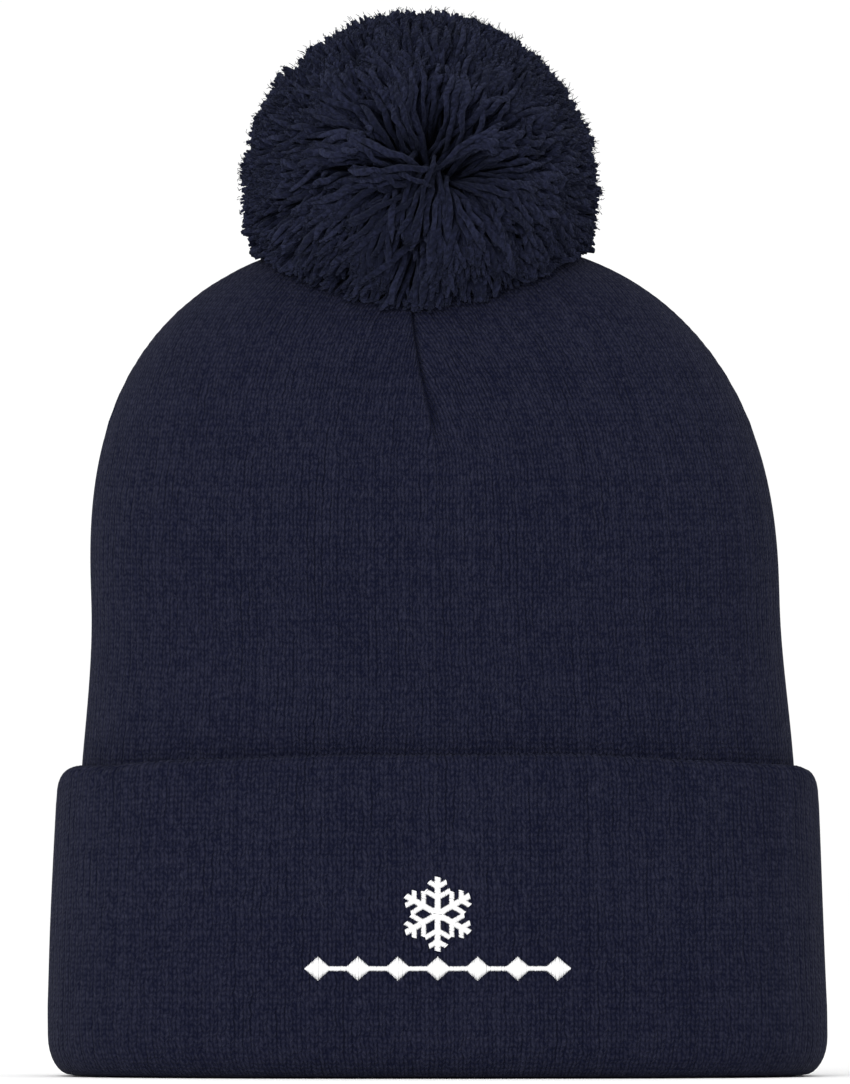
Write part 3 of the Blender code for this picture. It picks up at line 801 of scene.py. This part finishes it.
def ball_directions(count, chance, scatter):
    """Directions spread evenly over a ball whose two poles, front and back, are left open."""
    number = np.arange(count) + 0.5
    pole = (1.0 - 2.0 * number / count) * PARTING
    turn = number * math.pi * (3.0 - math.sqrt(5.0))
    ring = np.sqrt(1.0 - pole ** 2)[:, None]
    side = unit(np.cross(POLE, np.array([0.0, 0.0, 1.0])))
    up = np.cross(side, POLE)
    even = pole[:, None] * POLE + ring * (np.cos(turn)[:, None] * side + np.sin(turn)[:, None] * up)
    return unit(even + chance.normal(0.0, scatter, even.shape))


def level_when_moved(path):
    """The nearest each strand comes to the crown at the limits of the joints that carry the pile."""
    nearest = np.full(len(path), np.inf)
    for axis, degrees in POM_MOVES:
        first, second = [other for other in range(3) if other != axis]
        moved = path[:, path.shape[1] // 2:] - NECK
        across, up = moved[..., first].copy(), moved[..., second].copy()
        angle = math.radians(degrees)
        moved[..., first] = across * math.cos(angle) - up * math.sin(angle)
        moved[..., second] = across * math.sin(angle) + up * math.cos(angle)
        nearest = np.minimum(nearest, crown_level(moved + NECK).min(axis=1))
    return nearest


# How far along a strand its points lie: closer together toward the tip, which is round
STRAND_SHARES = 1.0 - (1.0 - np.linspace(0.0, 1.0, STRAND_POINTS)) ** 1.6


def strand_paths(chance):
    """Centre lines of the pile's strands. Each leaves the tie along the nearer pole, and bends over
    to its own place on the ball, so they fan out from a parting at the front and one at the back."""
    ends = ball_directions(STRANDS, chance, 0.035)
    tufts = ball_directions(TUFTS, chance, 0.060)
    nearest = np.argmax(ends @ tufts.T, axis=1)
    pull = chance.uniform(0.10, 0.55, (STRANDS, 1)) * (1.0 - 0.8 * np.abs(ends @ POLE))[:, None]
    lean = chance.normal(0.0, 0.090, (TUFTS, 3))[nearest] + chance.normal(0.0, 0.035, (STRANDS, 3))
    ends = unit(ends + (tufts[nearest] - ends) * pull + lean * 0.6)
    length = POM_RADIUS + chance.normal(-0.0002, 0.0007, TUFTS)[nearest]
    length = length + chance.normal(-0.0003, 0.0004, STRANDS)
    toward = ends @ POLE
    pole = np.sign(toward)[:, None] * POLE
    toward = np.abs(toward)[:, None]
    flat = unit(ends - toward * pole)
    apart = np.sqrt(1.0 - toward ** 2)
    along_slit = 1.4 * (ends @ SLIT)[:, None] + chance.normal(0.0, 0.18, (STRANDS, 1))
    parted = SLIT * np.clip(along_slit, -1.0, 1.0) * toward ** 0.5
    start = POM_CENTRE + flat * chance.uniform(-0.0035, 0.0045, (STRANDS, 1)) + pole * 0.002
    start = start + parted * 0.0040
    rise = chance.uniform(0.40, 1.50, (STRANDS, 1)) * toward ** 0.65
    spread = chance.normal(0.02, 0.10, (STRANDS, 1))
    spread = spread + chance.uniform(0.05, 0.20, (STRANDS, 1)) * apart
    turn = POM_CENTRE + (flat * spread + pole * rise + lean * 0.9 + parted * 0.26) * POM_RADIUS
    middle = POM_CENTRE + POM_SETTLE
    finish = middle + ends * length[:, None]
    share = STRAND_SHARES[None, :, None]
    path = (
        start[:, None] * (1.0 - share) ** 2
        + turn[:, None] * 2.0 * share * (1.0 - share)
        + finish[:, None] * share ** 2
    )
    binormal = unit(np.cross(flat, pole))
    phase = chance.uniform(0.0, 2.0 * math.pi, (2, STRANDS, 1, 1))
    swing = chance.normal(0.0, 0.0019, (2, STRANDS, 1, 1))
    across = np.cross(unit(finish - start), binormal)[:, None]
    path = path + swing[0] * np.sin(5.0 * share + phase[0]) * share * binormal[:, None]
    path = path + swing[1] * np.sin(4.0 * share + phase[1]) * share * across
    crimp = 0.00055 * np.sin(22.0 * share + 3.0 * phase)
    path = path + crimp[0] * share * binormal[:, None] + crimp[1] * share * across
    return trimmed(path, middle), binormal, nearest


def trimmed(path, middle):
    """Strands that would stand off the ball lie down over its outside, in the same order."""
    far = np.linalg.norm(path - middle, axis=-1, keepdims=True)
    over = np.maximum(far / POM_REACH - CLIPPED, 0.0) / (1.0 - CLIPPED)
    near = np.minimum(far, CLIPPED * POM_REACH) + POM_REACH * (1.0 - CLIPPED) * np.tanh(over)
    return middle + (path - middle) * near / np.maximum(far, 1e-6)


def make_pile():
    """The pile in pieces: its upper part, and a fringe on each side, of the strands that come near
    the crown when the pom-pom turns to its limits.
    """
    chance = np.random.default_rng(41)
    path, binormal, tuft = strand_paths(chance)
    gaps = chance.uniform(0.0023, 0.0042, STRANDS)
    kept = crown_level(path[:, -1]) > 0.985
    path, binormal, tuft, gaps = path[kept], binormal[kept], tuft[kept], gaps[kept]
    low = level_when_moved(path) < TOUCHING
    path = clear_of_crown(path, np.repeat(gaps[:, None], STRAND_POINTS, axis=1))
    count = len(path)
    share = STRAND_SHARES[None, :]
    thick = chance.uniform(0.00076, 0.00116, (count, 1))
    radii = thick * (0.42 + 0.58 * eased(share / 0.90) ** 1.3)
    radii = radii * (1.0 - 0.60 * eased((share - 0.93) / 0.07) ** 1.5)
    radii = radii * chance.uniform(0.78, 1.22, radii.shape)
    tint = np.clip(chance.normal(0.5, 0.2, count) + chance.normal(0.0, 0.16, TUFTS)[tuft], 0.0, 1.0)
    offset = path[:, -1] - POM_CENTRE
    side = np.abs(offset[:, 0]) * CAP_HALF_DEPTH > np.abs(offset[:, 1]) * CAP_HALF_WIDTH * 0.8
    front, left = offset[:, 1] < 0.0, offset[:, 0] <= 0.0
    groups = {
        "pom_fringe_right": low & side & ~left,
        "pom_fringe_left": low & side & left,
        "pom_fringe_front": low & ~side & front,
        "pom_fringe_back": low & ~side & ~front,
        "pom_pile_front_left": ~low & front & left,
        "pom_pile_front_right": ~low & front & ~left,
        "pom_pile_back_left": ~low & ~front & left,
        "pom_pile_back_right": ~low & ~front & ~left,
    }
    for name, some in groups.items():
        piece = tubes(name, path[some], radii[some], binormal[some], POM_YARN, 5, tint[some])
        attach(piece, "pom")
        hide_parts("pom_pile")
        if "fringe" in name:
            joint = "pom_nod" if ("front" in name or "back" in name) else "pom_sway"
            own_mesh(piece)
    for name, some in {"front": ~low & front, "back": ~low & ~front}.items():
        make_fibres("pom_loose_fibres_" + name, chance, path[some], tint[some])


def make_fibres(name, chance, path, tint):
    """Fine fibres that stand off the outer half of the strands and off their cut ends."""
    count = FIBRES // 2
    chosen = chance.integers(0, len(path), count)
    at = 3.0 + (path.shape[1] - 4.05) * chance.uniform(0.0, 1.0, count) ** 0.45
    step = np.floor(at).astype(int)
    before, after = path[chosen, step], path[chosen, step + 1]
    root = before + (after - before) * (at - step)[:, None]
    aim = unit(unit(after - before) + chance.normal(0.0, 0.34, (count, 3)))
    bend = unit(np.cross(aim, chance.normal(0.0, 1.0, (count, 3))))
    length = chance.gamma(3.0, 0.00028, count)[:, None, None]
    share = np.linspace(0.0, 1.0, 3)[None, :, None]
    lines = root[:, None] + length * (aim[:, None] * share + 0.45 * bend[:, None] * share ** 2)
    lines = clear_of_crown(lines, np.full(lines.shape[:2], 0.0006))
    far = np.linalg.norm(lines - POM_CENTRE, axis=-1, keepdims=True)
    lines = POM_CENTRE + (lines - POM_CENTRE) * np.minimum(1.0, (POM_RADIUS + 0.0012) / far)
    radii = 0.00012 * (1.0 - 0.5 * np.linspace(0.0, 1.0, 3))[None, :] * np.ones((count, 1))
    start = root + unit(root - POM_CENTRE) * 0.0007
    lines = lines + (start - root)[:, None]
    piece = tubes(name, lines, radii, bend, POM_YARN, 3, tint[chosen])
    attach(piece, "pom")


# ---------------------------------------------------------------- embroidery

STITCH_PITCH = 0.00036
STITCH_RADIUS = 0.00023
MOTIF_MIDDLE = 0.0450
FLAKE_ARM = 0.0100
FLAKE_BAR = 0.0008
FLAKE_BRANCHES = ((0.70, 0.24), (0.40, 0.36))
FLAKE_BRANCH_WIDTH = 0.0013
BORDER_MIDDLE = 0.0300
BORDER_STEP = 0.0110
BORDER_COUNT = 7
DIAMOND = (0.0034, 0.0030)
BORDER_BAR = 0.0006


def row_of_stitches(start, finish, half, slant=0.0002, taper=False):
    """Stitches lying across the line from start to finish; `half` is half their length."""
    start, finish = np.array(start), np.array(finish)
    run = np.linalg.norm(finish - start)
    along = (finish - start) / run
    across = np.array([-along[1], along[0]])
    count = max(int(run / STITCH_PITCH), 2)
    made = []
    for number in range(count + 1):
        share = number / count
        reach = half * (1.0 - abs(2.0 * share - 1.0)) + 0.00025 if taper else half
        middle = start + along * run * share
        made.append((middle - across * reach - along * slant, middle + across * reach + along * slant))
    return made


def flake_stitches():
    """A plain six-armed flake: for each arm, its bar and two pairs of branches."""
    made = row_of_stitches((0.0, -0.0014), (0.0, 0.0014), 0.0013)
    for arm in range(6):
        turn = math.radians(60.0 * arm)
        spin = np.array([[math.cos(turn), -math.sin(turn)], [math.sin(turn), math.cos(turn)]])
        stitches = row_of_stitches((0.0, 0.0012), (0.0, FLAKE_ARM), FLAKE_BAR)
        for root, length in FLAKE_BRANCHES:
            for side in (-1.0, 1.0):
                aim = np.array([side * math.sin(math.radians(60.0)), 0.5])
                over = np.array([-side * 0.5, math.sin(math.radians(60.0))])
                foot = np.array([side * FLAKE_BAR * 0.6, root * FLAKE_ARM])
                foot = foot + over * FLAKE_BRANCH_WIDTH / 2.0
                tip = foot + aim * length * FLAKE_ARM
                stitches += row_of_stitches(foot, tip, FLAKE_BRANCH_WIDTH / 2.0)
        made += [(spin @ a, spin @ b) for a, b in stitches]
    return made


def border_stitches():
    """A row of diamonds strung on one thin bar."""
    made = []
    first = -0.5 * BORDER_STEP * (BORDER_COUNT - 1)
    for number in range(BORDER_COUNT):
        middle = first + BORDER_STEP * number
        ends = (middle - DIAMOND[0], 0.0), (middle + DIAMOND[0], 0.0)
        made += row_of_stitches(*ends, DIAMOND[1], 0.0, taper=True)
        if number < BORDER_COUNT - 1:
            inset = DIAMOND[0] - 0.0004
            bar = (middle + inset, 0.0), (middle + BORDER_STEP - inset, 0.0)
            made += row_of_stitches(*bar, BORDER_BAR, 0.0)
    return made


def on_cuff(flat, middle, off):
    """Places on the cuff's front for flat embroidery drawn round a point `middle` up its height."""
    x, z = flat[..., 0], flat[..., 1] + middle
    rise = CUFF_HEM_RISE * np.maximum(z - CUFF_RISE_START, 0.0) / (CUFF_HEM - CUFF_RISE_START)
    share = np.abs(x / CUFF_HALF_WIDTH) ** (SQUARENESS / 2.0)
    turns = 1.5 * math.pi + np.sign(x) * (math.pi / 2.0 - np.arccos(np.clip(share, 0.0, 1.0)))
    swell = lumps(turns, z - rise, LUMP, CUFF_LUMP_SEED)
    return np.stack([x, -(cuff_front(x, z - rise) + off + swell), z], -1)


def embroider(name, stitches, middle, node, seed):
    """Each stitch is a short arched thread that dives into the knit at both ends."""
    chance = np.random.default_rng(seed)
    ends = np.array(stitches)
    count = len(ends)
    share = np.linspace(0.0, 1.0, 6)
    flat = ends[:, :1] + (ends[:, 1:] - ends[:, :1]) * share[None, :, None]
    flat = flat + chance.normal(0.0, 0.00003, (count, 1, 2))
    length = np.linalg.norm(ends[:, 1] - ends[:, 0], axis=-1)
    arch = (0.00022 + 0.08 * length)[:, None] * np.sin(math.pi * share)[None, :] ** 0.7
    path = on_cuff(flat, middle, 0.00012 + arch + chance.normal(0.0, 0.00002, (count, 1)))
    radii = STITCH_RADIUS * (0.70 + 0.30 * np.sin(math.pi * share) ** 0.5)[None, :]
    radii = radii * chance.uniform(0.92, 1.06, (count, 1))
    bars = unit(np.cross(path[:, -1] - path[:, 0], np.array([0.0, 1.0, 0.0])))
    piece = tubes(name, path, radii, bars, WHITE_THREAD, 8)
    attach(piece, "cuff")
    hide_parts(node)


# ---------------------------------------------------------------- sewing and label

def seam_paths(angle):
    """Stitches over the lining's dart at one angle: short slanted threads down its line."""
    heights = np.linspace(0.163, 0.2235, 46)
    face = (LINING_INSET + WALL + 0.0006, LINING_CROWN - WALL, LINING_EASE)
    here = cap_at(angle, heights, *face)
    up = unit(cap_at(angle, heights + 0.0006, *face) - here)
    across = unit(cap_at(angle + 0.02, heights, *face) - here)
    inward = unit(np.cross(up, across))
    share = np.linspace(-1.0, 1.0, 6)
    path = here[:, None] + across[:, None] * share[None, :, None] * 0.0013
    path = path + up[:, None] * share[None, :, None] * 0.0006
    path = path + inward[:, None] * (0.00035 * (1.0 - share ** 2))[None, :, None]
    return path, up


def dress_seams():
    for side, degrees in DART_TURNS.items():
        path, up = seam_paths(math.radians(degrees))
        radii = np.full(path.shape[:2], 0.00032)
        piece = tubes("lining_dart_overlock_" + side, path, radii, up, NAVY_THREAD, 6)
        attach(piece, "hat_body")
        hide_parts("lining_dart_seam_" + side)


def make_knot():
    """The yarn's knot inside the crown, with its two trimmed ends."""
    middle = (KNOT_LOW + KNOT_HIGH) / 2.0
    middle = np.array([middle.x, middle.y, KNOT_LOW.z + 0.0056])
    turns = np.linspace(0.0, 2.0 * math.pi, 61)
    x = np.sin(turns) + 2.0 * np.sin(2.0 * turns)
    y = np.cos(turns) - 2.0 * np.cos(2.0 * turns)
    loop = middle + np.stack([x, y, -1.3 * np.sin(3.0 * turns)], -1) * 0.00125
    radii = np.full((1, 61), 0.00130)
    up = np.array([[0.1, 0.2, 1.0]])
    knot = tubes("anchor_yarn_knot", loop[None], radii, up, POM_YARN, 10, [0.6])
    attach(knot, "hat_body")
    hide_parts("anchor_knot")
    share = np.linspace(0.0, 1.0, 8)[:, None]
    ends = []
    for side in (-1.0, 1.0):
        aim = np.array([side * 0.0040, side * 0.0016, -0.0052])
        ends.append(middle + aim * share + np.array([0.0, side * 0.0012, 0.0]) * np.sin(3.0 * share))
    radii = np.full((2, 8), 0.00110)
    ups = np.tile([[0.2, 1.0, 0.1]], (2, 1))
    tails = tubes("anchor_yarn_ends", np.array(ends), radii, ups, POM_YARN, 8, [0.4, 0.7])
    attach(tails, "hat_body")


def make_label():
    """A blank woven label folded into a loop, sewn along its top."""
    thick = (LABEL_HIGH.y - LABEL_LOW.y) / 2.0
    top, low = LABEL_HIGH.z, LABEL_LOW.z
    middle = (LABEL_LOW.y + LABEL_HIGH.y) / 2.0
    ply = thick * 0.72
    outline = [(middle + thick, z) for z in np.linspace(top, low + thick, 10)]
    turns = np.radians(np.linspace(-15.0, -165.0, 7))
    outline += [(middle + thick * math.cos(t), low + thick + thick * math.sin(t)) for t in turns]
    outline += [(middle - thick, z) for z in np.linspace(low + thick, top, 10)]
    inner = thick - ply
    outline += [(middle - inner, z) for z in np.linspace(top, low + thick, 5)]
    outline += [(middle + inner, z) for z in np.linspace(low + thick, top, 5)]
    columns = 25
    bm = bmesh.new()
    ring = [bm.verts.new((0.0, y, z)) for y, z in outline]
    edges = [bm.edges.new(pair) for pair in zip(ring, ring[1:] + ring[:1])]
    ends = [bmesh.ops.contextual_create(bm, geom=edges)["faces"][0]]
    made = edges
    for _ in range(columns - 1):
        grown = bmesh.ops.extrude_edge_only(bm, edges=made)["geom"]
        made = [part for part in grown if isinstance(part, bmesh.types.BMEdge)]
        moved = [part for part in grown if isinstance(part, bmesh.types.BMVert)]
        bmesh.ops.translate(bm, verts=moved, vec=(1.0, 0.0, 0.0))
    ends += bmesh.ops.contextual_create(bm, geom=made)["faces"]
    weave = bm.loops.layers.uv.new("weave")
    for face in bm.faces:
        for loop in face.loops:
            loop[weave].uv = (loop.vert.co.x * 5.0, loop.vert.co.z / 0.00028)
    half = LABEL_HIGH.x
    for vert in bm.verts:
        share = vert.co.x / (columns - 1) * 2.0 - 1.0
        edge = eased((abs(share) - 0.90) / 0.06)
        vert.co.x = share * half
        vert.co.y += 0.00010 * edge * (1.0 if vert.co.y > middle else -1.0) * 0.5
    bmesh.ops.recalc_face_normals(bm, faces=bm.faces)
    mesh = mesh_of("blank_care_label", bm)
    mesh.materials.append(LABEL_TAPE)
    piece = linked("blank_care_label", mesh)
    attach(piece, "label")
    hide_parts("care_label")
    return piece


def sew_label():
    """A row of slanted stitches that catches the label's top edge."""
    count = 22
    x = np.linspace(STITCH_LOW.x + 0.0006, STITCH_HIGH.x - 0.0006, count)
    share = np.linspace(0.0, 1.0, 6)
    low, high = STITCH_LOW.z - 0.0012, STITCH_HIGH.z
    y = (STITCH_LOW.y + STITCH_HIGH.y) / 2.0
    across = x[:, None] + 0.0007 * share[None, :]
    out = y + 0.0003 - 0.00055 * np.sin(math.pi * share)[None, :] + 0.0 * across
    up = low + (high - low) * share[None, :] + 0.0 * across
    radii = np.full(across.shape, 0.00026)
    bars = np.tile([[1.0, 0.0, 0.0]], (count, 1))
    piece = tubes("label_sewing", np.stack([across, out, up], -1), radii, bars, NAVY_THREAD, 6)
    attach(piece, "hat_body")
    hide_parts("label_stitches")


def finish_hidden_parts():
    """Parts between the layers keep their shape and take their real finish."""
    sewn = ["outer_dart_seam_" + side for side in DART_TURNS]
    sewn += ["crown_gather_thread", "pom_core_binding", "tie_wrap", "pom_neck_cord"]
    for node, material in (dict.fromkeys(sewn, NAVY_THREAD) | {"embroidery_backing": LABEL_TAPE}).items():
        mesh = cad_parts[node].data
        mesh.materials.clear()
        mesh.materials.append(material)


# ---------------------------------------------------------------- floor, light, camera

def make_floor():
    bm = bmesh.new()
    bmesh.ops.create_grid(bm, x_segments=1, y_segments=1, size=40.0)
    mesh = mesh_of("studio_floor", bm)
    white, inputs, _ = finish_of("studio_white", 0.9, 0.0, (1.0, 1.0, 1.0), 0.5, 0.0)
    inputs["Base Color"].default_value = (0.99, 0.99, 0.99, 1.0)
    mesh.materials.append(white)
    floor = linked("studio_floor", mesh)
    floor.location = (0.0, 0.0, -0.0004)


def add_area(name, place, size, power):
    """A round lamp that faces the middle of the hat."""
    light = bpy.data.lights.new(name, "AREA")
    light.shape = "DISK"
    light.size = size
    light.energy = power
    lamp = linked(name, light)
    lamp.location = place
    aim = Vector((0.0, 0.0, 0.15)) - Vector(place)
    lamp.rotation_euler = aim.to_track_quat("-Z", "Y").to_euler()


def light_studio():
    world = bpy.data.worlds.new("studio")
    world.use_nodes = True
    background = world.node_tree.nodes["Background"]
    background.inputs["Color"].default_value = (1.0, 1.0, 1.0, 1.0)
    background.inputs["Strength"].default_value = 1.03
    bpy.context.scene.world = world
    add_area("key", (-0.5, -1.6, 0.8), 0.8, 13.5)
    add_area("top", (0.2, -0.1, 1.7), 0.7, 2.0)


def place_camera():
    data = bpy.data.cameras.new("camera")
    data.lens = 1200.0
    data.sensor_width = 36.0
    data.sensor_height = 36.0
    data.clip_end = 300.0
    camera = linked("camera", data)
    camera.location = (-0.0035, -10.0, 0.1474)
    camera.rotation_euler = (math.radians(90.0), 0.0, 0.0)
    bpy.context.scene.camera = camera
    view = bpy.context.scene.view_settings
    view.view_transform = "Standard"
    view.look = "None"


cap_outer, cap_lining = dress_cap()
cuff_knit, cuff_back = dress_cuff()
make_pile()
embroider("flake_stitches", flake_stitches(), MOTIF_MIDDLE, "embroidered_motif", 61)
embroider("border_stitches", border_stitches(), BORDER_MIDDLE, "embroidered_border", 62)
dress_seams()
make_knot()
care_label = make_label()
sew_label()
finish_hidden_parts()

make_floor()
light_studio()
place_camera()
